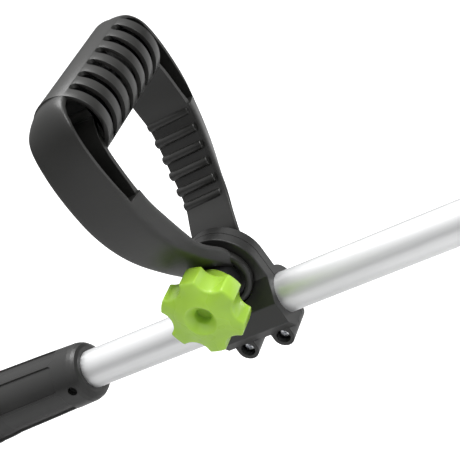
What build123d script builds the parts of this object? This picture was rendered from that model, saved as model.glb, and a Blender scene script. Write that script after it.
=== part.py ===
"""Long-reach pressure-washer lance with a trigger handle at the rear, an aluminium shaft tube
and a pivoting loop handle clamped to the tube.

Frame, in millimetres: the origin is the centre of the inlet's end face. X runs along the lance
towards the nozzle, Z points up to the loop handle and Y is the axis that the loop turns about.
"""
import math
import os

from build123d import *

# ---------------------------------------------------------------- driving dimensions
tube_od = 25.0              # aluminium shaft tube
tube_wall = 1.4
pipe_od = 10.0              # high-pressure pipe inside the tube
pipe_bore = 6.0
run_gap = 0.3               # air between parts that move past each other
pin_fit = 0.05              # radial clearance of a pin in its hole

pivot_x = 485.0             # loop pivot, along the lance
pivot_z = 29.7              # loop pivot above the tube axis
housing_front = 356.6       # front face of the trigger housing
housing_rear = 22.0
tube_rear = 297.0
tube_front = 919.0

clamp_radius = 25.2         # rounded top of the clamp, about the loop pivot
clamp_gap = 0.5             # left between the two halves, so the screws can pull them tight
clamp_half = 7.0            # each clamp half at the pivot, measured along Y
clamp_side = 17.6           # half width of the clamp around the tube
clamp_bottom = -16.6
clamp_screw_x = 13.2        # clamp screws each side of the pivot
clamp_screw_z = -20.3

loop_outer = 64.0           # half width of the loop over its outer skins
loop_inner = 47.0           # half width of the hand opening
loop_rear = -16.5           # rear and front edges of the loop's arms, from the pivot
loop_front = 18.0
loop_skin = 3.0
grip_x = 2.5                # grip axis from the pivot
grip_rise = 133.0
grip_radius = 21.5
grip_wall = 4.5
ring_pitch = 14.0
slot_width = 6.4
slot_count = 6

bolt_radius = 4.0           # M8 pivot bolt
knob_lobes = 6
knob_radius = 25.0
knob_phase = 17.0           # degrees of the first lobe above +X
collar_radius = 14.3

rib_turns = [24.0, 82.0, 140.0, 220.0, 278.0, 336.0]    # ribs round the barrel, from +Z
rib_width = 5.0             # degrees
panel_depth = 1.1
handle_half = 19.0          # half width of the trigger handle
housing_wall = 2.8

trigger_x = 182.0           # trigger pivot
trigger_z = -30.0
plunger_z = -12.0
latch_x = 118.0             # safety latch pivot, on the trigger
latch_z = -36.0

inlet_radius = 10.9         # M22 outside thread
nozzle_bore = 5.0

hub_face = clamp_half + run_gap      # inner face of each loop hub
hub_plate = 2.6
hub_lip = 5.4               # height of a hub's raised rim above its inner face
hub_radius = 19.5
recess_radius = 15.3

# ---------------------------------------------------------------- small makers


def rod_x(radius, x0, x1, y=0.0, z=0.0):
    """Solid cylinder along X."""
    return Pos((x0 + x1) / 2, y, z) * Rot(0, 90, 0) * Cylinder(radius, x1 - x0)


def rod_y(radius, y0, y1, x=0.0, z=0.0):
    """Solid cylinder along Y."""
    return Pos(x, (y0 + y1) / 2, z) * Rot(90, 0, 0) * Cylinder(radius, y1 - y0)


def rod_z(radius, z0, z1, x=0.0, y=0.0):
    """Solid cylinder along Z."""
    return Pos(x, y, (z0 + z1) / 2) * Cylinder(radius, z1 - z0)


def block(x0, x1, y0, y1, z0, z1):
    """Box between two corners."""
    return Pos((x0 + x1) / 2, (y0 + y1) / 2, (z0 + z1) / 2) * Box(x1 - x0, y1 - y0, z1 - z0)


def plate_xz(face, y0, y1):
    """Extrude a face drawn in (x, z) between two Y values."""
    return Pos(0, y1, 0) * extrude(Plane.XZ * face, amount=y1 - y0)


def turned_x(profile):
    """Solid of revolution about X from (x, radius) points."""
    face = make_face(Polyline(*[(x, 0, r) for x, r in profile], close=True))
    return revolve(face, Axis.X, 360)


def hex_x(across_flats, x0, x1, y=0.0, z=0.0):
    """Hexagonal bar along X."""
    face = RegularPolygon(across_flats / 2, 6, major_radius=False)
    return Pos(x0, y, z) * Rot(0, 90, 0) * extrude(face, amount=x1 - x0)


def hex_y(across_flats, y0, y1, x=0.0, z=0.0):
    """Hexagonal bar along Y."""
    face = RegularPolygon(across_flats / 2, 6, major_radius=False)
    return Pos(x, y1, z) * Rot(90, 0, 0) * extrude(face, amount=y1 - y0)


def coil(radius, wire, z0, z1, turns, x=0.0, y=0.0):
    """Open helical spring along Z."""
    height = z1 - z0 - 2 * wire
    path = Helix(pitch=height / turns, height=height, radius=radius)
    section = Plane(origin=path @ 0, z_dir=path % 0) * Circle(wire)
    return Pos(x, y, z0 + wire) * sweep(section, path=path)


def near_side(solid):
    """The part of a solid on the -Y side of the parting plane."""
    return solid & block(-50, 1100, -150, 0, -150, 300)


def far_side(solid):
    """The part of a solid on the +Y side of the parting plane."""
    return solid & block(-50, 1100, 0, 150, -150, 300)


nodes = {}

# ---------------------------------------------------------------- shaft

shaft_tube = rod_x(tube_od / 2, tube_rear, tube_front)
shaft_tube -= rod_x(tube_od / 2 - tube_wall, tube_rear - 1, tube_front + 1)
shaft_tube -= rod_y(1.6, -20, 20, tube_front - 20, 0)
nodes["shaft_tube"] = shaft_tube

valve_front = 244.0
socket_mouth = tube_front + 34.0
nodes["pressure_pipe"] = rod_x(pipe_od / 2, valve_front, socket_mouth - 14) - rod_x(
    pipe_bore / 2, valve_front - 1, socket_mouth
)

pipe_guides = Part()
for guide_x in (380.0, 595.0, 810.0):
    guide = rod_x(tube_od / 2 - tube_wall - 0.1, guide_x, guide_x + 12)
    guide -= rod_x(pipe_od / 2 + 0.1, guide_x - 1, guide_x + 13)
    for step in range(3):
        angle = math.radians(90 + 120 * step)
        guide -= rod_x(2.2, guide_x - 1, guide_x + 13, 8.2 * math.cos(angle), 8.2 * math.sin(angle))
    pipe_guides += guide
nodes["pipe_guides"] = pipe_guides

# ---------------------------------------------------------------- clamp on the tube


def clamp_outline():
    """Side view of the clamp: a disc about the pivot that runs straight down past the tube."""
    top = Pos(pivot_x, pivot_z) * Circle(clamp_radius)
    low = Pos(pivot_x, (pivot_z + clamp_bottom) / 2) * Rectangle(
        2 * clamp_radius, pivot_z - clamp_bottom
    )
    return top + low


def clamp_sleeve():
    """Sleeve round the tube, in flats on the knob's side and round on the far side."""
    outline = Polyline(
        (-clamp_side, 4.8),
        (-7.0, 17.8),
        (0, 17.8),
        (0, clamp_bottom),
        (-12.6, clamp_bottom),
        (-clamp_side, -9.8),
        close=True,
    )
    bar = extrude(Plane.YZ * make_face(outline), amount=2 * clamp_radius)
    bar = Pos(pivot_x - clamp_radius, 0, 0) * bar
    bar = fillet(bar.edges().filter_by(Axis.X).group_by(Axis.Y)[0], 1.6)
    shell = rod_x(clamp_side, pivot_x - clamp_radius, pivot_x + clamp_radius)
    return bar + far_side(fillet(shell.edges().filter_by(GeomType.CIRCLE), 1.2))


clamp_body = plate_xz(clamp_outline(), -clamp_half, clamp_half)
clamp_body = fillet(clamp_body.edges().filter_by(GeomType.CIRCLE), 0.8)
clamp_body += clamp_sleeve()
for side in (-1, 1):
    boss_x = pivot_x + side * clamp_screw_x
    clamp_body += rod_y(6.8, -13.0, 13.0, boss_x, clamp_screw_z)
    clamp_body += block(boss_x - 6.8, boss_x + 6.8, -13.0, 13.0, clamp_screw_z, clamp_bottom + 2)
clamp_body -= rod_x(tube_od / 2, pivot_x - 40, pivot_x + 40)
clamp_body -= rod_y(bolt_radius + pin_fit, -20, 20, pivot_x, pivot_z)
for side in (-1, 1):
    low, high = sorted((side * clamp_half, side * 30.0))
    clamp_body -= rod_y(hub_radius + 0.6, low, high, pivot_x, pivot_z)
for side in (-1, 1):
    boss_x = pivot_x + side * clamp_screw_x
    clamp_body -= rod_y(2.1, -20, 20, boss_x, clamp_screw_z)
    clamp_body -= rod_y(4.4, -14, -6.0, boss_x, clamp_screw_z)
    clamp_body -= hex_y(7.1, 9.0, 14, boss_x, clamp_screw_z)
clamp_body -= block(
    pivot_x - 40, pivot_x + 40, -clamp_gap / 2, clamp_gap / 2, clamp_screw_z - 20, pivot_z + 40
)
nodes["clamp_near_half"] = near_side(clamp_body)
nodes["clamp_far_half"] = far_side(clamp_body)

clamp_screws = Part()
clamp_nuts = Part()
for side in (-1, 1):
    boss_x = pivot_x + side * clamp_screw_x
    head = rod_y(3.8, -9.0, -6.0, boss_x, clamp_screw_z)
    head = fillet(head.edges().sort_by(Axis.Y)[0], 1.2)
    for turn in (0, 90):
        slot = Rot(0, turn, 0) * Box(4.2, 2.6, 0.9)
        head -= Pos(boss_x, -9.0, clamp_screw_z) * slot
    clamp_screws += head + rod_y(2.0, -6.0, 12.4, boss_x, clamp_screw_z)
    nut = hex_y(7.0, 9.0, 12.2, boss_x, clamp_screw_z) - rod_y(2.0, 8, 13, boss_x, clamp_screw_z)
    clamp_nuts += nut
nodes["clamp_screws"] = clamp_screws
nodes["clamp_nuts"] = clamp_nuts

# ---------------------------------------------------------------- loop handle

def loop_side(half_widths):
    """Half of the loop seen along X: (y, height above the pivot) points joined by a spline."""
    return [(y, pivot_z + rise) for y, rise in half_widths]


outer_points = loop_side(
    [(9.6, -2.0), (15.0, 10.5), (34.5, 29.0), (45.5, 42.5), (55.8, 60.0), (61.2, 76.0), (64.0, 96.0)]
    + [(64.0, 132.0), (57.5, 147.0), (42.0, 154.5)]
)
inner_points = loop_side([(7.3, 4.0), (9.5, 17.0), (24.0, 27.0), (37.5, 58.0), (46.2, 80.0), (47.0, 90.0)])


def loop_half(side):
    """Face between the outer and inner skin lines of one arm, closed over the grip."""
    outer = [(side * y, z) for y, z in outer_points]
    inner = [(side * y, z) for y, z in inner_points]
    inner_end = inner[5][0]
    cap_end = inner_end - side * 4
    outer_side = Spline(*outer[1:7], tangents=[(side * 0.8, 0.6), (0, 1)])
    inner_side = Spline(*inner[1:5], tangents=[(side * 0.55, 0.8), (side * 0.12, 1)])
    return make_face(
        [
            Line(inner[0], outer[0]),
            Line(outer[0], outer[1]),
            outer_side,
            Line(outer[6], outer[7]),
            ThreePointArc(outer[7], outer[8], outer[9]),
            Line(outer[9], (cap_end, outer[9][1])),
            Line((cap_end, outer[9][1]), (cap_end, pivot_z + 118.0)),
            Line((cap_end, pivot_z + 118.0), (inner_end, pivot_z + 116.0)),
            Line((inner_end, pivot_z + 116.0), inner[5]),
            Line(inner[5], inner[4]),
            inner_side,
            Line(inner[1], inner[0]),
        ]
    )


arms = Part()
for side in (-1, 1):
    arm = extrude(Plane.YZ * loop_half(side), amount=loop_front - loop_rear)
    arms += Pos(pivot_x + loop_rear, 0, 0) * arm

grip_z = pivot_z + grip_rise
grip_bar = rod_y(grip_radius, -loop_inner, loop_inner, pivot_x + grip_x, grip_z)

# The front corners are open channels between the skins.
for side in (-1, 1):
    channel = [
        (side * (loop_inner + loop_skin), pivot_z + 87.0),
        (side * (loop_outer - loop_skin), pivot_z + 87.0),
        (side * (loop_outer - loop_skin), pivot_z + 131.0),
        (side * (loop_outer - loop_skin - 7.0), pivot_z + 145.0),
        (side * (loop_inner + loop_skin), pivot_z + 150.0),
    ]
    pocket = extrude(Plane.YZ * make_face(Polyline(*channel, close=True)), amount=40)
    arms -= Pos(pivot_x + loop_rear + loop_skin, 0, 0) * pocket

# Trim the arms' front corners to the round of the grip.
loop_handle = arms + grip_bar
corner_round = plate_xz(Pos(pivot_x + grip_x, grip_z) * Circle(grip_radius), -80, 80)
corner_keep = block(pivot_x - 40, pivot_x + 60, -80, 80, pivot_z - 60, grip_z)
loop_handle = loop_handle & (corner_round + corner_keep)

# Finger rings: slots open the front of the hollow grip and leave a spine along its rear.
grip_core = rod_y(grip_radius - grip_wall, -loop_inner + 3.5, loop_inner - 3.5, pivot_x + grip_x, grip_z)
spine = block(
    pivot_x + grip_x - grip_radius, pivot_x + grip_x - 8.0, -loop_inner, loop_inner,
    grip_z - grip_radius, grip_z + grip_radius,
)
loop_handle -= grip_core - spine
for index in range(slot_count):
    slot_y = (index - (slot_count - 1) / 2) * ring_pitch
    slot_low, slot_high = slot_y - slot_width / 2, slot_y + slot_width / 2
    slot = rod_y(grip_radius + 1, slot_low, slot_high, pivot_x + grip_x, grip_z)
    slot -= block(
        pivot_x + grip_x - 40, pivot_x + grip_x + 8.0, -80, 80, grip_z - 40, grip_z + 40
    )
    loop_handle -= slot

# Hubs that hold the clamp between them.
for side in (-1, 1):
    low, high = sorted((side * hub_face, side * (hub_face + hub_lip)))
    loop_handle += rod_y(hub_radius, low, high, pivot_x, pivot_z)
for side in (-1, 1):
    low, high = sorted((side * (hub_face + hub_plate), side * 60.0))
    loop_handle -= rod_y(recess_radius, low, high, pivot_x, pivot_z)
loop_handle -= rod_y(clamp_radius + 0.6, -hub_face, hub_face, pivot_x, pivot_z)
loop_handle -= rod_y(bolt_radius + pin_fit, -30, 30, pivot_x, pivot_z)
nodes["loop_handle"] = loop_handle

# ---------------------------------------------------------------- pivot bolt and knob

hub_floor = hub_face + hub_plate
bolt_head_height = 5.3
knob_back = -20.4
knob_lobe_back = -33.0
knob_front = -50.6
knob_rim = -52.1
insert_front = -39.0
bolt_end = -40.0

head = hex_y(13.0, hub_floor + 1.5, hub_floor + 1.5 + bolt_head_height, pivot_x, pivot_z)
nodes["pivot_bolt"] = head + rod_y(bolt_radius, bolt_end, hub_floor + 1.5, pivot_x, pivot_z)
nodes["bolt_washer"] = rod_y(9.0, hub_floor, hub_floor + 1.5, pivot_x, pivot_z) - rod_y(
    bolt_radius, hub_floor - 1, hub_floor + 3, pivot_x, pivot_z
)
nodes["pivot_spacer"] = rod_y(12.4, knob_back + 1.6, -hub_floor, pivot_x, pivot_z) - rod_y(
    bolt_radius, knob_back, -hub_floor + 1, pivot_x, pivot_z
)
nodes["knob_washer"] = rod_y(11.0, knob_back + 0.05, knob_back + 1.6, pivot_x, pivot_z) - rod_y(
    bolt_radius, knob_back - 1, knob_back + 3, pivot_x, pivot_z
)


def knob_outline(radius, scoop_radius, scoop_centre):
    """Six-lobed star: a disc with six round scoops."""
    face = Circle(radius)
    for lobe in range(knob_lobes):
        angle = math.radians(knob_phase + (lobe + 0.5) * 360 / knob_lobes)
        scoop = Circle(scoop_radius)
        face -= Pos(scoop_centre * math.cos(angle), scoop_centre * math.sin(angle)) * scoop
    return Pos(pivot_x, pivot_z) * face


star = plate_xz(knob_outline(knob_radius, 9.5, 28.6), knob_front, knob_lobe_back)
star = fillet(star.edges().filter_by(Axis.Y), 2.0)
star = fillet(star.edges().group_by(Axis.Y)[0], 1.6)
star += rod_y(collar_radius, knob_lobe_back, knob_back, pivot_x, pivot_z)
boss = Pos(pivot_x, knob_front, pivot_z) * Rot(90, 0, 0) * Cone(
    17.5, 12.0, 1.5, align=(Align.CENTER,) * 2 + (Align.MIN,)
)
star += boss
countersink = Pos(pivot_x, knob_rim, pivot_z) * Rot(-90, 0, 0) * Cone(
    9.5, 5.2, 4.5, align=(Align.CENTER,) * 2 + (Align.MIN,)
)
star -= countersink
star -= rod_y(5.2, knob_rim, bolt_end - 1.6, pivot_x, pivot_z)
star -= rod_y(6.5, insert_front, knob_back + 1, pivot_x, pivot_z)
star -= rod_y(bolt_radius + 0.2, bolt_end - 0.5, knob_back + 1, pivot_x, pivot_z)
nodes["star_knob"] = star
nodes["knob_insert"] = rod_y(6.5, insert_front, knob_back, pivot_x, pivot_z) - rod_y(
    bolt_radius + pin_fit, insert_front - 1, knob_back + 1, pivot_x, pivot_z
)

# ---------------------------------------------------------------- trigger housing shells

grip_top = 17.0
grip_under = -18.0
guard_top = -76.0
guard_under = -90.0


def handle_outline():
    """Side view of the trigger handle: straight grip, valve bay and guard."""
    outline = make_face(
        Polyline(
            (housing_rear, 15.0),
            (40.0, grip_top),
            (150.0, grip_top),
            (188.0, 24.0),
            (240.0, 22.0),
            (240.0, -22.0),
            (226.0, -34.0),
            (208.0, -84.0),
            (198.0, guard_under),
            (46.0, guard_under),
            (30.0, -82.0),
            (housing_rear, -14.0),
            close=True,
        )
    )
    return fillet(outline.vertices(), 6.0)


def hand_opening():
    """The opening for the fingers between the grip and the guard."""
    opening = make_face(
        Polyline(
            (52.0, grip_under),
            (162.0, grip_under),
            (172.0, -40.0),
            (182.0, guard_top),
            (56.0, guard_top),
            (46.0, -60.0),
            close=True,
        )
    )
    return fillet(opening.vertices(), 6.0)


def handle_solid(inset=0.0, soften=5.5):
    """Trigger handle as one solid, or its hollow when inset by the wall."""
    face = handle_outline() - hand_opening()
    if inset:
        face = offset(handle_outline(), -inset) - offset(hand_opening(), inset)
    solid = plate_xz(face, -handle_half + inset, handle_half - inset)
    rims = solid.edges().filter_by(Plane.XZ)
    return fillet(rims, soften) if soften else solid


barrel_taper = [(220.0, 23.9), (265.0, 23.3), (279.0, 22.6), (286.0, 21.8), (320.0, 20.9), (345.0, 20.0)]


def barrel_profile(inset=0.0):
    """Round front of the housing, from the valve bay to the shoulder behind the end face."""
    front = housing_front - inset
    rear = barrel_taper[0][0] + inset
    points = [(rear, 0), (rear, barrel_taper[0][1] - inset)]
    points += [(x, r - inset) for x, r in barrel_taper[1:]]
    points += [(front - 6.0, 19.8 - inset), (front - 3.1, 19.0 - inset)]
    points += [(front - 1.0, 17.6 - inset), (front, 15.5 - inset), (front, 0)]
    return points


outer_shell = handle_solid() + turned_x(barrel_profile())
panel_line = [(262.0, 23.34), (265.0, 23.3), (279.0, 22.6), (286.0, 21.8), (320.0, 20.9), (337.5, 20.27)]
for turn, next_turn in zip(rib_turns, rib_turns[1:] + [rib_turns[0] + 360]):
    floor = [(x, 0, r - panel_depth) for x, r in panel_line]
    rim = [(panel_line[-1][0], 0, 30.0), (panel_line[0][0], 0, 30.0)]
    panel = revolve(make_face(Polyline(*floor, *rim, close=True)), Axis.X, next_turn - turn - rib_width)
    corners = [edge for edge in panel.edges() if edge.bounding_box().size.X < 0.01 and edge.length < 20]
    panel = fillet([edge for edge in corners if edge.geom_type == GeomType.LINE], 3.0)
    outer_shell -= Rot(turn + rib_width / 2, 0, 0) * panel
hollow = handle_solid(housing_wall, 0) + turned_x(barrel_profile(housing_wall))
tube_seat = rod_x(24.0, 335.0, housing_front)
tube_seat += rod_x(24.0, 301.0, 307.0)
hollow -= tube_seat
shell = outer_shell - hollow - rod_x(tube_od / 2, tube_rear - 0.5, housing_front + 1)

# Screw posts join the two shells.
screw_places = [(housing_front - 8.6, 0.7), (229.0, -24.5), (196.0, -78.0), (58.0, -83.0), (37.0, -40.0)]
screw_places.append((164.0, 11.4))
housing_posts = Part()
for x, z in screw_places[1:]:
    housing_posts += rod_y(4.6, -handle_half + 1.0, handle_half - 1.0, x, z)
shell += housing_posts & outer_shell
for x, z in screw_places[1:]:
    shell -= rod_y(1.75, -handle_half, 13.0, x, z)
    shell -= rod_y(3.3, -handle_half - 4, -10.0, x, z)
front_x, front_z = screw_places[0]
shell -= rod_y(3.25, -26, -16.0, front_x, front_z)

# Bearings for the trigger pin, and the slot that the trigger comes out of.
trigger_boss = rod_y(6.0, -handle_half + 1, handle_half - 1, trigger_x, trigger_z)
trigger_boss -= rod_y(9.0, -8.4, 8.4, trigger_x, trigger_z)
shell += trigger_boss
shell -= rod_y(3.0, -12.0, 12.0, trigger_x, trigger_z)
trigger_slot = block(158, 188, -8.4, 8.4, -52, -19)
shell -= trigger_slot & handle_solid()

# Seats for the inlet at the rear and the valve in its bay.
shell -= rod_x(9.0, housing_rear - 2, housing_rear + 12)
shell -= hex_x(24.2, housing_rear - 1, housing_rear + 6)
spring_seat = block(187, 206, -18, 18, -64, -61)
shell += spring_seat & outer_shell
nodes["housing_near"] = near_side(shell)
nodes["housing_far"] = far_side(shell)

housing_screws = Part()
for x, z in screw_places[1:]:
    housing_screws += rod_y(3.1, -13.0, -10.0, x, z) + rod_y(1.7, -10.0, 12.0, x, z)
nodes["housing_screws"] = housing_screws

# ---------------------------------------------------------------- water path in the handle

thread_end = 15.0
inlet = rod_x(inlet_radius, 0, thread_end)
inlet += rod_x(9.0, thread_end, housing_rear + 12)
inlet += hex_x(24.0, thread_end + 1.5, housing_rear + 6)
inlet -= rod_x(6.0, -1, 12.0)
inlet -= rod_x(3.2, 10, housing_rear + 13)
inlet -= rod_x(pipe_od / 2 + pin_fit, housing_rear + 4, housing_rear + 13)
nodes["inlet_fitting"] = inlet
nodes["inlet_filter"] = rod_x(5.4, 4.0, 11.5) - rod_x(4.6, 3.0, 10.5)
valve_rear = 200.0
nodes["inlet_pipe"] = rod_x(pipe_od / 2, housing_rear + 4.1, valve_rear + 8) - rod_x(
    3.1, housing_rear, valve_rear + 9
)

valve_body = block(valve_rear, valve_front - 6, -9.5, 9.5, -17.5, 8.5)
valve_body = fillet(valve_body.edges().filter_by(Axis.X), 2.0)
valve_body += rod_x(8.0, valve_front - 6, valve_front + 12)
valve_body -= rod_x(pipe_od / 2 + pin_fit, valve_rear - 1, valve_rear + 8)
valve_body -= rod_x(3.0, valve_rear + 7, valve_front + 1)
valve_body -= rod_x(pipe_od / 2 + pin_fit, valve_front, valve_front + 13)
plunger_radius = 2.5
spring_room = 4.4
valve_body -= rod_x(plunger_radius + pin_fit, valve_rear - 1, valve_rear + 14, 0, plunger_z)
valve_body -= rod_x(spring_room, valve_rear + 13, valve_front - 5, 0, plunger_z)
valve_body -= rod_z(1.8, plunger_z, 0, valve_rear + 16, 0)
nodes["valve_body"] = valve_body

plunger_tip = valve_rear - 6.9
nodes["valve_plunger"] = rod_x(plunger_radius, plunger_tip, valve_rear + 18, 0, plunger_z) + rod_x(
    3.6, valve_rear + 18, valve_rear + 22, 0, plunger_z
)
plug_front = valve_front - 6
nodes["valve_plug"] = rod_x(spring_room - 0.02, plug_front - 3, plug_front, 0, plunger_z)
valve_coil = Rot(0, 90, 0) * coil(3.2, 0.5, valve_rear + 25.2, plug_front - 3.1, 5)
nodes["valve_spring"] = Pos(0, 0, plunger_z) * valve_coil

# ---------------------------------------------------------------- trigger

trigger_outline = make_face(
    [
        Spline((186.0, -22.0), (160.0, -25.5), (120.0, -29.5), (84.0, -33.5)),
        ThreePointArc((84.0, -33.5), (78.5, -39.0), (83.0, -44.0)),
        Spline((83.0, -44.0), (105.0, -40.5), (135.0, -39.0), (160.0, -42.0), (176.0, -42.0)),
        Spline((176.0, -42.0), (188.0, -44.0), (198.0, -41.0)),
        Line((198.0, -41.0), (198.0, -35.0)),
        Line((198.0, -35.0), (190.0, -27.0)),
        Line((190.0, -27.0), (191.5, plunger_z - 4)),
        ThreePointArc((191.5, plunger_z - 4), (188.0, plunger_z + 4.0), (184.5, plunger_z - 4)),
        Line((184.5, plunger_z - 4), (186.0, -22.0)),
    ]
)
trigger = plate_xz(trigger_outline, -7.5, 7.5)
trigger = fillet(trigger.edges().filter_by(Plane.XZ), 1.5)
trigger -= rod_y(2.5 + pin_fit, -20, 20, trigger_x, trigger_z)
trigger -= block(latch_x - 24, latch_x + 7, -3.3, 3.3, -60, -20)
trigger -= rod_y(1.5, -6.0, 6.0, latch_x, latch_z)
nodes["trigger"] = trigger
nodes["trigger_pin"] = rod_y(2.5, -11.9, 11.9, trigger_x, trigger_z)

spring_x = 195.0
nodes["trigger_spring"] = coil(3.6, 0.55, -61.0, -43.4, 5, spring_x)

latch = plate_xz(
    make_face(
        [
            Line((latch_x, latch_z + 3.4), (latch_x - 18, latch_z + 2.0)),
            ThreePointArc(
                (latch_x - 18, latch_z + 2.0), (latch_x - 21.5, latch_z - 1.5), (latch_x - 18, latch_z - 5.0)
            ),
            Line((latch_x - 18, latch_z - 5.0), (latch_x, latch_z - 3.4)),
            ThreePointArc((latch_x, latch_z - 3.4), (latch_x + 3.4, latch_z), (latch_x, latch_z + 3.4)),
        ]
    ),
    -3.0,
    3.0,
)
latch -= rod_y(1.5 + pin_fit, -5, 5, latch_x, latch_z)
nodes["safety_latch"] = latch
nodes["latch_pin"] = rod_y(1.5, -6.0, 6.0, latch_x, latch_z)

# ---------------------------------------------------------------- nozzle end

socket = turned_x(
    [
        (tube_front - 42, 0),
        (tube_front - 42, 14.2),
        (tube_front - 38, 15.6),
        (tube_front + 2, 16.4),
        (socket_mouth - 8, 14.0),
        (socket_mouth, 12.6),
        (socket_mouth, 0),
    ]
)
socket -= rod_x(tube_od / 2, tube_front - 43, tube_front)
socket -= rod_x(pipe_od / 2 + 0.1, tube_front - 1, socket_mouth - 13)
socket -= rod_x(8.0, socket_mouth - 20, socket_mouth + 1)
socket -= rod_y(1.6, -20, 20, tube_front - 20, 0)
nodes["front_socket"] = socket
nodes["socket_pin"] = rod_y(1.6, -15.9, 15.9, tube_front - 20, 0) - rod_x(
    tube_od / 2 - tube_wall, tube_front - 30, tube_front - 10
)

coupler_front = socket_mouth + 44.0
coupler = rod_x(8.0, socket_mouth - 20, socket_mouth + 6)
coupler += hex_x(19.0, socket_mouth + 0.5, socket_mouth + 8)
coupler += rod_x(8.6, socket_mouth + 8, coupler_front)
coupler += rod_x(9.9, coupler_front - 4, coupler_front)
coupler -= rod_x(pipe_od / 2 + pin_fit, socket_mouth - 21, socket_mouth - 14)
coupler -= rod_x(3.2, socket_mouth - 15, coupler_front)
coupler -= rod_x(5.0 + pin_fit, coupler_front - 24, coupler_front + 1)
ball_x = coupler_front - 9.0
ball_ring = 6
for step in range(ball_ring):
    turn = Rot(360 / ball_ring * step, 0, 0)
    coupler -= turn * rod_z(1.55, 3.0, 10.0, ball_x)
nodes["coupler_body"] = coupler

balls = Part()
for step in range(ball_ring):
    balls += Rot(360 / ball_ring * step, 0, 0) * Pos(ball_x, 0, 7.0) * Sphere(1.5)
nodes["locking_balls"] = balls

sleeve_rear = socket_mouth + 16.0
sleeve_front = coupler_front - 4.4
sleeve = turned_x(
    [
        (sleeve_rear, 0),
        (sleeve_rear, 11.6),
        (sleeve_rear + 1.2, 12.6),
        (sleeve_front - 1.2, 12.6),
        (sleeve_front, 11.6),
        (sleeve_front, 0),
    ]
)
for band in range(5):
    band_x = sleeve_rear + 4.0 + band * 4.0
    sleeve -= rod_x(14, band_x, band_x + 1.4) - rod_x(12.0, band_x - 1, band_x + 2)
sleeve -= rod_x(8.6 + pin_fit, sleeve_rear - 1, sleeve_front + 1)
sleeve -= rod_x(10.4, sleeve_rear - 1, sleeve_rear + 10)
nodes["coupler_sleeve"] = sleeve
sleeve_coil = Rot(0, 90, 0) * coil(9.5, 0.45, socket_mouth + 8.2, sleeve_rear + 3.6, 5)
nodes["coupler_spring"] = sleeve_coil

plug_rear = coupler_front - 22.0
nozzle_front = coupler_front + 42.0
stem = rod_x(5.0, plug_rear, coupler_front + 3)
stem -= rod_x(7, ball_x - 1.7, ball_x + 1.7) - rod_x(4.4, ball_x - 3, ball_x + 3)
stem += hex_x(17.0, coupler_front + 0.4, coupler_front + 8)
stem += rod_x(6.5, coupler_front + 8, coupler_front + 20)
stem -= rod_x(2.6, plug_rear - 1, coupler_front + 21)
stem -= rod_x(7, plug_rear + 2.6, plug_rear + 4.2) - rod_x(3.4, plug_rear + 2, plug_rear + 5)
nodes["nozzle_stem"] = stem
nodes["stem_seal"] = Pos(plug_rear + 3.4, 0, 0) * Rot(0, 90, 0) * Torus(4.2, 0.8)

head_rear = coupler_front + 9.0
head = turned_x(
    [
        (head_rear, 0),
        (head_rear, 10.5),
        (head_rear + 2.0, 12.0),
        (nozzle_front - 12, 12.4),
        (nozzle_front - 3, 10.4),
        (nozzle_front, 8.6),
        (nozzle_front, 0),
    ]
)
for flute in range(12):
    head -= Rot(30 * flute, 0, 0) * rod_x(1.6, head_rear + 4, nozzle_front - 10, 0, 13.2)
head -= rod_x(6.5 + pin_fit, head_rear - 1, coupler_front + 20.2)
head -= rod_x(4.0, coupler_front + 19, nozzle_front + 1)
head -= rod_x(nozzle_bore, nozzle_front - 7, nozzle_front + 1)
nodes["nozzle_head"] = head
tip_rear = coupler_front + 20.3
tip = rod_x(3.9, tip_rear, nozzle_front - 7.2)
tip -= rod_x(1.2, tip_rear - 1, nozzle_front - 6)
tip -= Pos(nozzle_front - 7.2, 0, 0) * Box(1.6, 8, 1.2)
nodes["spray_tip"] = tip

# ---------------------------------------------------------------- write the parts

os.makedirs("parts", exist_ok=True)
for name, solid in nodes.items():
    solid.label = name
    export_step(solid, f"parts/{name}.step")
print(len(nodes), "nodes")
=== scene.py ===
"""Long-reach pressure-washer lance: finishes on the engineering frame and detailed visible parts."""
import math

import bpy
from mathutils import Matrix, Vector


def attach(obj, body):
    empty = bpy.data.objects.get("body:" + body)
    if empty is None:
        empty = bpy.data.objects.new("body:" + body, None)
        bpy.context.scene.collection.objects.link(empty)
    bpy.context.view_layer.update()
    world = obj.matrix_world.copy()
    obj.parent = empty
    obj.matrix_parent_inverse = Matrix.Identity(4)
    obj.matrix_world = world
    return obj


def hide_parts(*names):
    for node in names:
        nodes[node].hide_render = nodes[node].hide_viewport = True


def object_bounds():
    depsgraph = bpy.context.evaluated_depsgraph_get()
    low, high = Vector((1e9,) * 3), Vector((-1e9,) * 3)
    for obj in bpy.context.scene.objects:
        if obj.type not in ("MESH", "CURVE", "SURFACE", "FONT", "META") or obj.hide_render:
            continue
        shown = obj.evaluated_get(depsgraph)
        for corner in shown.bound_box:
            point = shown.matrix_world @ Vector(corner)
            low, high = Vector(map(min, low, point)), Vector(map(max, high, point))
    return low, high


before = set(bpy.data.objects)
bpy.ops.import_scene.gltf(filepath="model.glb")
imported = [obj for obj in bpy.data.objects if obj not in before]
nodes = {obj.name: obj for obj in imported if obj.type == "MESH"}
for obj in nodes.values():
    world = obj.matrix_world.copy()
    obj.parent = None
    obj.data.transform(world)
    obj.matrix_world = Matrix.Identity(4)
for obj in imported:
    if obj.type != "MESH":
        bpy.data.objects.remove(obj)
cad_low, cad_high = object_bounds()

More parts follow.
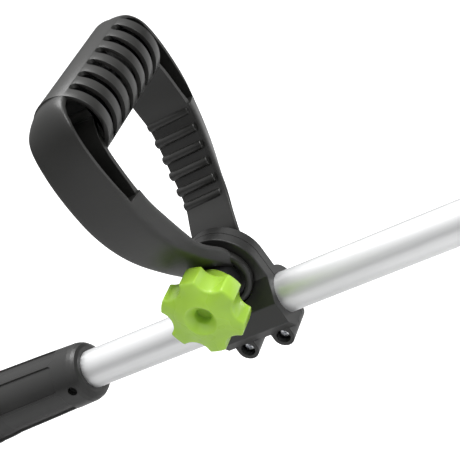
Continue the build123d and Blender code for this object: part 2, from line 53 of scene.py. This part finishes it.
# ---------------------------------------------------------------- studio
# A plain pale floor under the guard of the trigger handle, a white surround and two soft boxes.
# The camera stands over the nozzle side and is tilted, so the lance runs uphill.
camera_data = bpy.data.cameras.new("camera")
camera_data.lens = 121.6
camera_data.sensor_width = 36.0
camera_data.clip_start = 0.01
camera = bpy.data.objects.new("camera", camera_data)
bpy.context.scene.collection.objects.link(camera)
view_axes = Matrix(((0.7893, 0.3427, 0.5094), (0.2647, 0.5588, -0.786), (-0.554, 0.7552, 0.3504)))
camera.matrix_world = Matrix.Translation((0.96517, -0.71188, 0.36865)) @ view_axes.to_4x4()
bpy.context.scene.camera = camera
bpy.context.scene.view_settings.view_transform = "Standard"

floor_gap = 0.0005
bpy.ops.object.select_all(action="DESELECT")
bpy.ops.mesh.primitive_grid_add(x_subdivisions=8, y_subdivisions=8, size=9.0, location=(0.5, 0, 0))
floor = bpy.context.object
floor.name = "floor"
floor.location.z = cad_low.z - floor_gap
bpy.ops.object.transform_apply(location=True)

# The floor glows in the view itself, so it stays white, and is a mid grey in reflections.
floor_finish = bpy.data.materials.new("pale_floor")
floor_finish.use_nodes = True
floor_shader = floor_finish.node_tree.nodes["Principled BSDF"]
floor_shader.inputs["Base Color"].default_value = (0.55, 0.55, 0.55, 1)
floor_shader.inputs["Roughness"].default_value = 0.9
floor_shader.inputs["Specular IOR Level"].default_value = 0.1
floor_shader.inputs["Emission Color"].default_value = (1, 1, 1, 1)
seen = floor_finish.node_tree.nodes.new("ShaderNodeLightPath")
glow = floor_finish.node_tree.nodes.new("ShaderNodeMath")
glow.operation = "MULTIPLY"
glow.inputs[1].default_value = 0.75
floor_finish.node_tree.links.new(seen.outputs["Is Camera Ray"], glow.inputs[0])
floor_finish.node_tree.links.new(glow.outputs[0], floor_shader.inputs["Emission Strength"])
floor.data.materials.append(floor_finish)

# The surround is bright overhead and falls off towards the horizon, as in a light tent. Seen
# directly it is plain white.
world = bpy.data.worlds.new("white_surround")
bpy.context.scene.world = world
world.use_nodes = True
surround = world.node_tree
sky_place = surround.nodes.new("ShaderNodeTexCoord")
sky_split = surround.nodes.new("ShaderNodeSeparateXYZ")
sky_ramp = surround.nodes.new("ShaderNodeMapRange")
sky_ramp.inputs["From Min"].default_value = 0.0
sky_ramp.inputs["From Max"].default_value = 0.9
sky_ramp.inputs["To Min"].default_value = 0.10
sky_ramp.inputs["To Max"].default_value = 1.3
surround.links.new(sky_place.outputs["Generated"], sky_split.inputs["Vector"])
surround.links.new(sky_split.outputs["Z"], sky_ramp.inputs["Value"])
straight = surround.nodes.new("ShaderNodeLightPath")
whiter = surround.nodes.new("ShaderNodeMath")
whiter.operation = "MAXIMUM"
surround.links.new(straight.outputs["Is Camera Ray"], whiter.inputs[0])
surround.links.new(sky_ramp.outputs["Result"], whiter.inputs[1])
surround.links.new(whiter.outputs[0], surround.nodes["Background"].inputs["Strength"])
surround.nodes["Background"].inputs["Color"].default_value = (1, 1, 1, 1)


def soft_box(name, place, aim, size, watts):
    """Square area light at a place, facing a point."""
    data = bpy.data.lights.new(name, "AREA")
    data.size = size
    data.energy = watts
    lamp = bpy.data.objects.new(name, data)
    bpy.context.scene.collection.objects.link(lamp)
    lamp.location = place
    lamp.rotation_euler = (Vector(aim) - Vector(place)).to_track_quat("-Z", "Y").to_euler()


soft_box("overhead_box", (0.55, 0.35, 1.25), (0.45, 0, 0.05), 0.7, 16.0)
soft_box("front_box", (1.30, -0.15, 0.80), (0.48, 0, 0.08), 0.4, 6.0)

# ---------------------------------------------------------------- shaft tube
# Drawn aluminium tube with a satin clear anodised skin. Drawing leaves faint lines along its
# length, and handling leaves a slight unevenness in the sheen.


def finish(name, colour, roughness, metallic=0.0):
    """Material with its shader set up. Returns the material, its node tree and the shader."""
    made = bpy.data.materials.new(name)
    made.use_nodes = True
    tree = made.node_tree
    shader = tree.nodes["Principled BSDF"]
    shader.inputs["Base Color"].default_value = (*colour, 1)
    shader.inputs["Roughness"].default_value = roughness
    shader.inputs["Metallic"].default_value = metallic
    return made, tree, shader


def stretched(tree, scale):
    """Object coordinates scaled along each axis, for a pattern that runs one way."""
    place = tree.nodes.new("ShaderNodeTexCoord")
    mapping = tree.nodes.new("ShaderNodeMapping")
    mapping.inputs["Scale"].default_value = scale
    tree.links.new(place.outputs["Object"], mapping.inputs["Vector"])
    return mapping.outputs["Vector"]


def noise(tree, vector, scale, detail=4.0, roughness=0.5):
    """Noise texture on a vector. Returns its value."""
    texture = tree.nodes.new("ShaderNodeTexNoise")
    texture.inputs["Scale"].default_value = scale
    texture.inputs["Detail"].default_value = detail
    texture.inputs["Roughness"].default_value = roughness
    tree.links.new(vector, texture.inputs["Vector"])
    return texture.outputs["Fac"]


def spread(tree, value, low, high, start=0.3, end=0.7):
    """Value from start to end, remapped to low to high."""
    remap = tree.nodes.new("ShaderNodeMapRange")
    remap.inputs["From Min"].default_value = start
    remap.inputs["From Max"].default_value = end
    remap.inputs["To Min"].default_value = low
    remap.inputs["To Max"].default_value = high
    tree.links.new(value, remap.inputs["Value"])
    return remap.outputs["Result"]


def bump(tree, shader, height, strength, depth, rounding=0.0):
    """Bump from a height. With rounding, sharp edges also catch light as a worn radius."""
    node = tree.nodes.new("ShaderNodeBump")
    node.inputs["Strength"].default_value = strength
    node.inputs["Distance"].default_value = depth
    tree.links.new(height, node.inputs["Height"])
    if rounding:
        edge = tree.nodes.new("ShaderNodeBevel")
        edge.samples = 4
        edge.inputs["Radius"].default_value = rounding
        tree.links.new(edge.outputs["Normal"], node.inputs["Normal"])
    tree.links.new(node.outputs["Normal"], shader.inputs["Normal"])


def tint(tree, shader, value, dark, light):
    """Base colour from dark to light along a value."""
    ramp = tree.nodes.new("ShaderNodeValToRGB")
    ramp.color_ramp.elements[0].position = 0.3
    ramp.color_ramp.elements[0].color = (*dark, 1)
    ramp.color_ramp.elements[1].position = 0.7
    ramp.color_ramp.elements[1].color = (*light, 1)
    tree.links.new(value, ramp.inputs["Fac"])
    tree.links.new(ramp.outputs["Color"], shader.inputs["Base Color"])


def dress(names, made):
    """Gives CAD nodes a material in every slot."""
    for name in names:
        for slot in nodes[name].material_slots:
            slot.material = made


anodised, tree, shader = finish("satin_anodised", (0.76, 0.77, 0.77), 0.48, 1.0)
lines = noise(tree, stretched(tree, (6, 700, 700)), 1.0, 3.0)
cloud = noise(tree, stretched(tree, (12, 12, 12)), 1.0, 2.0)
tint(tree, shader, cloud, (0.74, 0.745, 0.75), (0.79, 0.795, 0.80))
tree.links.new(spread(tree, lines, 0.43, 0.54), shader.inputs["Roughness"])
bump(tree, shader, lines, 0.05, 0.0002)
dress(["shaft_tube"], anodised)

# ---------------------------------------------------------------- loop handle
# One moulding in black glass-filled nylon: two hubs, two arms that leave them at a slant, and a
# hollow finger grip. The arms are open channels near the grip, closed and ribbed below it.
mm = 0.001
pivot = Vector((0.485, 0.0, 0.0297))


def moulded(name, colour, roughness, grain=900, depth=0.00005, rounding=0.0005):
    """Satin moulded plastic: fine grain, uneven sheen, faint rubbed marks and soft edges."""
    made, tree, shader = finish(name, colour, roughness)
    shader.inputs["Specular IOR Level"].default_value = 0.5
    fine = noise(tree, stretched(tree, (1, 1, 1)), grain, 3.0, 0.6)
    broad = noise(tree, stretched(tree, (1, 1, 1)), 28, 3.0)
    rubbed = noise(tree, stretched(tree, (25, 90, 600)), 1.0, 2.0, 0.4)
    tint(tree, shader, broad, [c * 0.86 for c in colour], [c * 1.16 for c in colour])
    blend = tree.nodes.new("ShaderNodeMath")
    blend.operation = "MULTIPLY_ADD"
    blend.inputs[1].default_value = 0.25
    tree.links.new(rubbed, blend.inputs[0])
    tree.links.new(broad, blend.inputs[2])
    sheen = spread(tree, blend.outputs[0], roughness - 0.06, roughness + 0.07, 0.4, 0.9)
    tree.links.new(sheen, shader.inputs["Roughness"])
    bump(tree, shader, fine, 0.35, depth, rounding)
    return made


def pull_section(name, sections):
    """Solid through closed sections of points in mm, each pulled out of the one before it."""
    bpy.ops.object.select_all(action="DESELECT")
    bpy.ops.mesh.primitive_circle_add(vertices=len(sections[0]), radius=1.0, fill_type="NGON")
    piece = bpy.context.object
    piece.name = name
    for vertex, point in zip(piece.data.vertices, sections[0]):
        vertex.co = Vector(point) * mm
    bpy.ops.object.mode_set(mode="EDIT")
    bpy.ops.mesh.select_mode(type="FACE")
    bpy.ops.mesh.select_all(action="SELECT")
    for before, after in zip(sections, sections[1:]):
        bpy.ops.mesh.extrude_region_move(TRANSFORM_OT_translate={"value": (0, 0, 0)})
        bpy.ops.object.mode_set(mode="OBJECT")
        corners = [Vector(point) * mm for point in before]
        for vertex in piece.data.vertices:
            if vertex.select:
                nearest = min(range(len(corners)), key=lambda k: (corners[k] - vertex.co).length)
                vertex.co = Vector(after[nearest]) * mm
        bpy.ops.object.mode_set(mode="EDIT")
    bpy.ops.mesh.select_all(action="SELECT")
    bpy.ops.mesh.normals_make_consistent(inside=False)
    bpy.ops.object.mode_set(mode="OBJECT")
    return piece


def smooth_out(piece, levels):
    """Applies a subdivision surface."""
    bpy.ops.object.modifier_add(type="SUBSURF")
    piece.modifiers[-1].levels = levels
    piece.modifiers[-1].render_levels = levels
    bpy.ops.object.modifier_apply(modifier=piece.modifiers[-1].name)


def crown_drop(x):
    """How far the round top of the grip lies below its crest at x, in mm."""
    return grip_radius - math.sqrt(max(grip_radius ** 2 - (x - grip_x) ** 2, 4.0))


def arm_section(outer, inner, rear, outer_front, inner_front, bend, splay):
    """Section of an arm, from (x, share of the way from the inner to the outer skin) points. Its
    front leans back to the outer skin, which is splay mm nearer the middle at the rear than at the
    front. Where there are ribs, a lip along the front edge stands as high as they do."""
    points = []
    thick = math.hypot(outer[0] - inner[0], outer[1] - inner[1])
    lean = outer_front - inner_front
    ribbed = 30 < inner[1] < 86
    lip = -1.5 / thick if ribbed else 0.0
    outline = [
        (rear, 1.0 / thick),
        (rear, 0.5),
        (rear, 1 - 2.6 / thick),
        (rear + 0.8, 1 - 0.8 / thick),
        (rear + 2.8, 1.0),
        (rear + 10, 1.0),
        (outer_front - 8, 1.0),
        (outer_front - 1.4, 1.0),
        (outer_front + 0.1, 1 - 1.2 / thick),
        (inner_front + lean * 0.55, 0.55),
        (inner_front, 1.6 / thick),
        (inner_front - 0.3, 0.4 / thick + lip),
        (inner_front - 1.2, lip),
        (inner_front - 2.6, lip * 0.7),
        (inner_front - 5.0, 0.0),
        (rear + 8, 0.0),
        (rear + 1.2, 0.0),
        (rear + 0.3, 0.3 / thick),
    ]
    for x, part in outline:
        back = (outer_front - x) / (outer_front - rear)
        y = inner[0] + (outer[0] - inner[0]) * part - splay * back * part
        z = inner[1] + (outer[1] - inner[1]) * part
        points.append((x, y, z - bend * crown_drop(x) * part))
    return points


def combine(target, other, operation):
    """Boolean of target with other, which is then removed."""
    bpy.ops.object.select_all(action="DESELECT")
    target.select_set(True)
    bpy.context.view_layer.objects.active = target
    bpy.ops.object.modifier_add(type="BOOLEAN")
    target.modifiers[-1].operation = operation
    target.modifiers[-1].solver = "EXACT"
    target.modifiers[-1].object = other
    bpy.ops.object.modifier_apply(modifier=target.modifiers[-1].name)
    bpy.data.objects.remove(other, do_unlink=True)


def mirrored_copy(source, name):
    """Copy of a piece on the other side of the middle plane, with its faces turned outwards."""
    bpy.ops.object.select_all(action="DESELECT")
    source.select_set(True)
    bpy.context.view_layer.objects.active = source
    bpy.ops.object.duplicate()
    copy = bpy.context.object
    copy.name = name
    bpy.ops.object.mode_set(mode="EDIT")
    bpy.ops.mesh.select_all(action="SELECT")
    bpy.ops.transform.resize(value=(1, -1, 1), center_override=(0, 0, 0))
    bpy.ops.mesh.flip_normals()
    bpy.ops.object.mode_set(mode="OBJECT")
    return copy


def soften(piece, width, segments=2, angle=35):
    """Bevels the sharp edges of a piece by a small radius."""
    bpy.ops.object.select_all(action="DESELECT")
    piece.select_set(True)
    bpy.context.view_layer.objects.active = piece
    bpy.ops.object.modifier_add(type="BEVEL")
    piece.modifiers[-1].width = width
    piece.modifiers[-1].segments = segments
    piece.modifiers[-1].limit_method = "ANGLE"
    piece.modifiers[-1].angle_limit = math.radians(angle)
    bpy.ops.object.modifier_apply(modifier=piece.modifiers[-1].name)


# Arm stations from the hub to the top corner: outer skin, inner skin, rear edge, outer front edge,
# inner front edge, how far the section follows the round top of the grip, and the splay.
grip_x, grip_z, grip_radius = 3.5, 133.1, 21.7
arm_rows = [
    ((8.6, 1.0), (7.4, 6.5), -15.5, 15.0, 16.0, 0, 0),
    ((14.0, 8.2), (9.6, 14.5), -16.2, 14.5, 17.0, 0, 0),
    ((19.2, 13.4), (14.4, 21.0), -16.6, 13.0, 17.0, 0, 0),
    ((26.4, 21.4), (21.6, 27.5), -16.7, 12.0, 16.0, 0, -0.8),
    ((33.8, 29.8), (29.4, 34.0), -16.7, 11.6, 15.4, 0, -1.2),
    ((43.8, 42.2), (34.1, 44.8), -16.8, 11.8, 15.6, 0, -1.8),
    ((50.5, 53.0), (38.4, 55.6), -16.9, 12.6, 16.2, 0, -2.4),
    ((55.6, 63.8), (42.6, 65.8), -17.0, 13.4, 16.9, 0, -2.8),
    ((59.2, 74.6), (46.6, 76.0), -17.0, 14.2, 17.6, 0, -3.2),
    ((61.2, 84.0), (48.2, 84.4), -17.0, 15.2, 18.2, 0, -3.4),
    ((62.6, 93.5), (47.3, 93.0), -17.0, 16.6, 18.2, 0, -3.0),
    ((63.8, 102.6), (47.2, 102.0), -17.0, 17.2, 18.2, 0, -2.2),
    ((64.6, 111.4), (46.9, 110.5), -17.0, 17.6, 18.2, 0, -1.2),
    ((64.9, 119.4), (45.6, 118.4), -17.0, 17.8, 18.2, 0, -0.1),
    ((64.6, 127.2), (43.2, 124.0), -17.0, 17.8, 18.2, 0.03, 1.0),
    ((63.7, 134.6), (40.4, 128.0), -17.0, 17.6, 18.0, 0.08, 1.9),
    ((62.0, 141.6), (37.6, 130.6), -17.0, 17.0, 17.4, 0.18, 3.0),
    ((58.8, 148.2), (34.8, 132.0), -16.8, 16.0, 16.4, 0.45, 3.6),
    ((54.2, 152.8), (32.0, 132.8), -16.6, 15.0, 15.4, 0.75, 3.2),
    ((48.4, 154.9), (29.6, 133.2), -16.4, 14.2, 14.6, 0.96, 2.0),
    ((42.2, 155.0), (27.6, 133.2), -16.4, 13.8, 14.2, 1.0, 0),
    ((36.6, 155.0), (26.0, 133.2), -16.4, 13.6, 14.0, 1.0, 0),
]
arm = pull_section("arm", [arm_section(*row) for row in arm_rows])
smooth_out(arm, 2)

# Hollow behind the outer skin, which opens to the front and runs on into the grip. Above its
# floor both skins end a little behind the closed front.
skin = 2.8
hollow_floor = 86.2
hollow_corner = 5.5
hollow_front = 40.0
hollow_rows = []
for outer, inner, rear, outer_front, inner_front, bend, splay in arm_rows[9:]:
    across = Vector((outer[0] - inner[0], outer[1] - inner[1])).normalized() * skin
    section = [(rear + skin, inner[0] + across.x, inner[1] + across.y)]
    for x in (rear + skin, rear + hollow_corner, 3.0, 15.0, hollow_front):
        back = (outer_front - min(x, outer_front)) / (outer_front - rear)
        y = outer[0] - across.x - splay * back
        section.append((x, y, outer[1] - across.y - bend * crown_drop(min(x, 15.0))))
    for x in (hollow_front, rear + hollow_corner):
        section.append((x, inner[0] + across.x, inner[1] + across.y))
    hollow_rows.append(section)
hollow_rows[0] = [(x, y, hollow_floor) for x, y, z in hollow_rows[0]]
combine(arm, pull_section("hollow", hollow_rows), "DIFFERENCE")


def cut_block(low, high):
    """Block between two corners in mm, to cut with."""
    bpy.ops.object.select_all(action="DESELECT")
    bpy.ops.mesh.primitive_cube_add(size=1.0)
    cutter = bpy.context.object
    for vertex in cutter.data.vertices:
        vertex.co = [(a + b) / 2 * mm + c * (b - a) * mm for a, b, c in zip(low, high, vertex.co)]
    return cutter


skin_front = 16.4
combine(arm, cut_block((skin_front, 30, hollow_floor), (skin_front + 20, 90, 176.2)), "DIFFERENCE")

# Grip ribs on the inner face of the closed part of each arm.
# Each is (y, z, front end), and all start at the rear edge.
rib_stations = [(47.2, 82.6, 14.4), (43.3, 72.5, 13.8), (39.2, 62.4, 13.1), (34.8, 52.9, 12.4)]
rib_stations += [(31.0, 43.0, 11.8), (27.9, 33.8, 11.4)]
rib_radius = 3.1
rib_rear = -16.6
rib_sink = 1.5
for rib_y, rib_z, rib_front in rib_stations:
    rib_length = rib_front - rib_rear
    bpy.ops.mesh.primitive_cylinder_add(
        vertices=32, radius=rib_radius * mm, depth=rib_length * mm, rotation=(0, math.pi / 2, 0)
    )
    rib = bpy.context.object
    bpy.ops.object.transform_apply(location=True, rotation=True)
    bpy.ops.object.mode_set(mode="EDIT")
    bpy.ops.mesh.select_all(action="SELECT")
    bpy.ops.transform.resize(value=(1, 0.82, 0.94))
    bpy.ops.transform.translate(
        value=((rib_front + rib_rear) / 2 * mm, (rib_y + rib_sink) * mm, rib_z * mm)
    )
    bpy.ops.object.mode_set(mode="OBJECT")
    soften(rib, 0.9 * mm, 3, 50)
    combine(arm, rib, "UNION")

# Finger grip: a tube with six slots across its front, opening on its hollow middle.
grip_length = 91.4
grip_hollow = 19.2
slot_count = 6
slot_pitch = 13.98
slot_width = 6.5
slot_rear = 9.6
slot_corner = 2.4


def grip_rod(radius, length):
    """Round bar along Y, centred on the origin, in mm."""
    bpy.ops.object.select_all(action="DESELECT")
    bpy.ops.mesh.primitive_cylinder_add(
        vertices=96, radius=radius * mm, depth=length * mm, rotation=(math.pi / 2, 0, 0)
    )
    return bpy.context.object


grip = grip_rod(grip_radius, grip_length)
grip.name = "grip"
combine(grip, grip_rod(grip_hollow, 120), "DIFFERENCE")
for index in range(slot_count):
    middle = (index - (slot_count - 1) / 2) * slot_pitch
    low = (slot_rear, middle - slot_width / 2, -30)
    slot = cut_block(low, (slot_rear + 30, middle + slot_width / 2, 30))
    bpy.ops.object.mode_set(mode="EDIT")
    bpy.ops.mesh.select_mode(type="EDGE")
    bpy.ops.mesh.select_all(action="DESELECT")
    bpy.ops.object.mode_set(mode="OBJECT")
    for edge in slot.data.edges:
        a, b = (slot.data.vertices[i].co for i in edge.vertices)
        edge.select = a.x < 20 * mm and b.x < 20 * mm and abs(a.z - b.z) > 10 * mm
    bpy.ops.object.mode_set(mode="EDIT")
    bpy.ops.mesh.bevel(offset=slot_corner * mm, segments=5, affect="EDGES")
    bpy.ops.object.mode_set(mode="OBJECT")
    combine(grip, slot, "DIFFERENCE")
soften(grip, 0.7 * mm, 2, 40)
bpy.ops.object.select_all(action="DESELECT")
grip.select_set(True)
bpy.context.view_layer.objects.active = grip
grip.location = (grip_x * mm, 0, grip_z * mm)
bpy.ops.object.transform_apply(location=True, rotation=True)

# Hub: a turned cup with a rounded rim, whose floor bears on the clamp. Points are (y, radius).


def ring_stack(name, count, rings):
    """Rings of points about the Y axis, each (y, radius) pulled out of the last. A radius may be a
    function of the angle."""
    bpy.ops.object.select_all(action="DESELECT")
    bpy.ops.mesh.primitive_circle_add(vertices=count, radius=1.0, rotation=(math.pi / 2, 0, 0))
    stack = bpy.context.object
    stack.name = name
    bpy.ops.object.transform_apply(rotation=True)
    for index, (y, radius) in enumerate(rings):
        if index:
            bpy.ops.object.mode_set(mode="EDIT")
            bpy.ops.mesh.extrude_region_move(TRANSFORM_OT_translate={"value": (0, 0, 0)})
            bpy.ops.object.mode_set(mode="OBJECT")
        else:
            bpy.ops.object.mode_set(mode="EDIT")
            bpy.ops.mesh.select_all(action="SELECT")
            bpy.ops.object.mode_set(mode="OBJECT")
        for vertex in stack.data.vertices:
            if vertex.select:
                angle = math.atan2(vertex.co.z, vertex.co.x)
                reach = radius(angle) if callable(radius) else radius
                vertex.co = (reach * mm * math.cos(angle), y * mm, reach * mm * math.sin(angle))
    return stack


def shut(stack):
    """Joins the last ring of a stack to its first, and turns the faces outwards."""
    bpy.ops.object.mode_set(mode="EDIT")
    bpy.ops.mesh.select_all(action="SELECT")
    bpy.ops.mesh.remove_doubles(threshold=0.00001)
    bpy.ops.mesh.normals_make_consistent(inside=False)
    bpy.ops.object.mode_set(mode="OBJECT")


hub_section = [(7.3, 4.1), (7.3, 18.6), (8.0, 19.6), (10.2, 20.0), (11.9, 19.5), (12.8, 18.2)]
hub_section += [(12.9, 16.9), (12.4, 15.8), (11.4, 15.4), (10.2, 15.2), (9.9, 14.6), (9.9, 4.1)]
hub_section += [(7.3, 4.1)]
hub = ring_stack("hub", 96, hub_section)
shut(hub)
combine(arm, hub, "UNION")

loop = arm
combine(loop, mirrored_copy(arm, "far_arm"), "UNION")
combine(loop, grip, "UNION")
loop.name = "loop_moulding"
bpy.ops.object.select_all(action="DESELECT")
loop.select_set(True)
bpy.context.view_layer.objects.active = loop
loop.location = pivot
bpy.ops.object.transform_apply(location=True)
bpy.ops.object.shade_smooth_by_angle(angle=math.radians(35))
black_nylon = moulded("black_nylon", (0.0125, 0.0125, 0.0115), 0.40)
loop.data.materials.clear()
loop.data.materials.append(black_nylon)
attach(loop, "loop")
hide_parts("loop_handle")

# ---------------------------------------------------------------- star knob
# Lime green polypropylene, moulded round a brass insert. Six soft lobes, a domed front and a
# conical mouth over the bolt hole. The gloss picks up every edge.
lobe_phase = math.radians(17.2)
lobe_tip = 24.9
scoop_radius = 9.6
scoop_centre = 29.3
corner_reach = 1.1


def star(inset):
    """Outline of a disc with six round scoops, drawn in by an inset, as a radius at an angle. The
    corners between the disc and the scoops are rounded."""
    def radius(angle):
        off = (angle - lobe_phase) % (math.pi / 3) - math.pi / 6
        reach = (scoop_radius + inset) ** 2 - (scoop_centre * math.sin(off)) ** 2
        edge = lobe_tip - inset
        hollow = scoop_centre * math.cos(off) - math.sqrt(reach) if reach > 0 else edge + 3
        blend = max(0.0, corner_reach - abs(hollow - edge)) / corner_reach
        return min(hollow, edge) - blend * blend * 0.28
    return radius


# From the collar's back, round the lobes and over the domed front to the floor of the bolt hole.
knob_rings = [(-20.5, 0.5), (-20.5, 13.6), (-21.2, 14.3), (-33.0, 14.3)]
knob_rings += [(-33.0, star(0.9)), (-33.3, star(0.3)), (-33.9, star(0.0)), (-47.9, star(0.0))]
knob_rings += [(-48.7, star(0.25)), (-49.2, star(0.8)), (-49.5, star(1.6)), (-49.9, star(3.4))]
knob_rings += [(-50.7, 15.2), (-51.5, 12.4), (-51.9, 10.6), (-52.1, 9.9), (-52.0, 9.47)]
knob_rings += [(-47.8, 5.4), (-47.4, 5.16), (-42.0, 5.16), (-42.0, 0.5)]
knob = ring_stack("knob", 240, knob_rings)
bpy.ops.object.mode_set(mode="EDIT")
bpy.ops.mesh.merge(type="CENTER")
bpy.ops.mesh.select_all(action="DESELECT")
bpy.ops.object.mode_set(mode="OBJECT")
for vertex in knob.data.vertices:
    vertex.select = vertex.co.y > -21.0 * mm and math.hypot(vertex.co.x, vertex.co.z) < 1.0 * mm
bpy.ops.object.mode_set(mode="EDIT")
bpy.ops.mesh.merge(type="CENTER")
bpy.ops.mesh.select_all(action="SELECT")
bpy.ops.mesh.normals_make_consistent(inside=False)
bpy.ops.object.mode_set(mode="OBJECT")
knob.name = "knob_moulding"
bpy.ops.object.select_all(action="DESELECT")
knob.select_set(True)
bpy.context.view_layer.objects.active = knob
knob.location = pivot
bpy.ops.object.transform_apply(location=True)
bpy.ops.object.shade_smooth_by_angle(angle=math.radians(50))
lime, tree, shader = finish("lime_gloss", (0.34, 0.56, 0.055), 0.24)
flow = noise(tree, stretched(tree, (40, 40, 40)), 1.0, 2.0)
tint(tree, shader, flow, (0.325, 0.54, 0.05), (0.36, 0.585, 0.062))
shader.inputs["Subsurface Weight"].default_value = 0.35
shader.inputs["Subsurface Radius"].default_value = (1.0, 1.0, 0.25)
shader.inputs["Subsurface Scale"].default_value = 0.004
fine = noise(tree, stretched(tree, (1, 1, 1)), 400, 2.0)
tree.links.new(spread(tree, flow, 0.20, 0.32), shader.inputs["Roughness"])
bump(tree, shader, fine, 0.06, 0.0001, 0.0006)
knob.data.materials.clear()
knob.data.materials.append(lime)
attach(knob, "knob")
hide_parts("star_knob")

# ---------------------------------------------------------------- clamp and front socket
# Two half shells screwed together round the tube, and the socket at its front end, in the same
# black nylon as the loop with a finer spark-eroded grain.
clamp_black = moulded("clamp_nylon", (0.012, 0.012, 0.0115), 0.42, 1300)
dress(["clamp_near_half", "clamp_far_half", "front_socket"], clamp_black)
dress(["pivot_spacer", "pipe_guides"], moulded("acetal_black", (0.016, 0.016, 0.017), 0.36, 700))

# ---------------------------------------------------------------- trigger housing and trigger
# Two moulded shells with a smooth ribbed barrel, and a one-piece trigger hung between them.
housing_black = moulded("housing_nylon", (0.012, 0.012, 0.0115), 0.38, 1000)
dress(["housing_near", "housing_far"], housing_black)
dress(["trigger"], moulded("trigger_nylon", (0.014, 0.014, 0.0145), 0.36, 1000))
dress(["nozzle_head"], moulded("nozzle_nylon", (0.015, 0.015, 0.0155), 0.40, 1100))
dress(["safety_latch"], lime)

# ---------------------------------------------------------------- screws, bolt and washers
# Bright zinc plate on rolled steel: slightly mottled, with fine turning lines round each head.


def plated(name, dark, light, low, high, scale, rounding=0.0002):
    """Bare or plated metal with turning lines and a mottled sheen."""
    made, tree, shader = finish(name, light, low, 1.0)
    mottle = noise(tree, stretched(tree, (1, 1, 1)), scale, 3.0)
    turned = noise(tree, stretched(tree, (2600, 120, 120)), 1.0, 2.0)
    tint(tree, shader, mottle, dark, light)
    tree.links.new(spread(tree, turned, low, high), shader.inputs["Roughness"])
    bump(tree, shader, turned, 0.08, 0.00005, rounding)
    return made


zinc = plated("zinc_plate", (0.66, 0.68, 0.72), (0.80, 0.81, 0.83), 0.20, 0.34, 500)
dress(["clamp_screws", "clamp_nuts", "pivot_bolt", "bolt_washer", "knob_washer"], zinc)
blackened = plated("blackened_screw", (0.05, 0.05, 0.055), (0.10, 0.10, 0.105), 0.35, 0.5, 500)
dress(["housing_screws"], blackened)

# ---------------------------------------------------------------- water path
# Turned brass fittings with steel tubes, springs, balls and tip between them.
brass = plated("turned_brass", (0.70, 0.52, 0.24), (0.80, 0.62, 0.32), 0.22, 0.36, 260)
brass_parts = ["inlet_fitting", "coupler_body", "nozzle_stem", "knob_insert", "valve_body", "valve_plug"]
dress(brass_parts, brass)
steel = plated("drawn_steel", (0.50, 0.51, 0.53), (0.62, 0.63, 0.65), 0.26, 0.40, 300)
dress(["pressure_pipe", "inlet_pipe", "trigger_pin", "socket_pin", "latch_pin", "spray_tip"], steel)
ground = plated("ground_steel", (0.62, 0.63, 0.64), (0.70, 0.71, 0.72), 0.12, 0.2, 400)
dress(["valve_plunger", "locking_balls"], ground)
wire = plated("spring_wire", (0.36, 0.36, 0.38), (0.50, 0.50, 0.52), 0.3, 0.42, 900)
dress(["valve_spring", "trigger_spring", "coupler_spring"], wire)
nickel = plated("nickelled_sleeve", (0.60, 0.59, 0.56), (0.72, 0.71, 0.68), 0.18, 0.3, 200, 0.0004)
dress(["coupler_sleeve"], nickel)

strainer, tree, shader = finish("woven_strainer", (0.55, 0.56, 0.58), 0.4, 1.0)
weave = tree.nodes.new("ShaderNodeTexBrick")
weave.inputs["Scale"].default_value = 1.0
weave.inputs["Color1"].default_value = (0.62, 0.63, 0.65, 1)
weave.inputs["Color2"].default_value = (0.55, 0.56, 0.58, 1)
weave.inputs["Mortar"].default_value = (0.05, 0.05, 0.05, 1)
tree.links.new(stretched(tree, (900, 900, 900)), weave.inputs["Vector"])
tree.links.new(weave.outputs["Color"], shader.inputs["Base Color"])
dress(["inlet_filter"], strainer)
dress(["stem_seal"], moulded("nitrile_rubber", (0.010, 0.010, 0.010), 0.62, 1500))
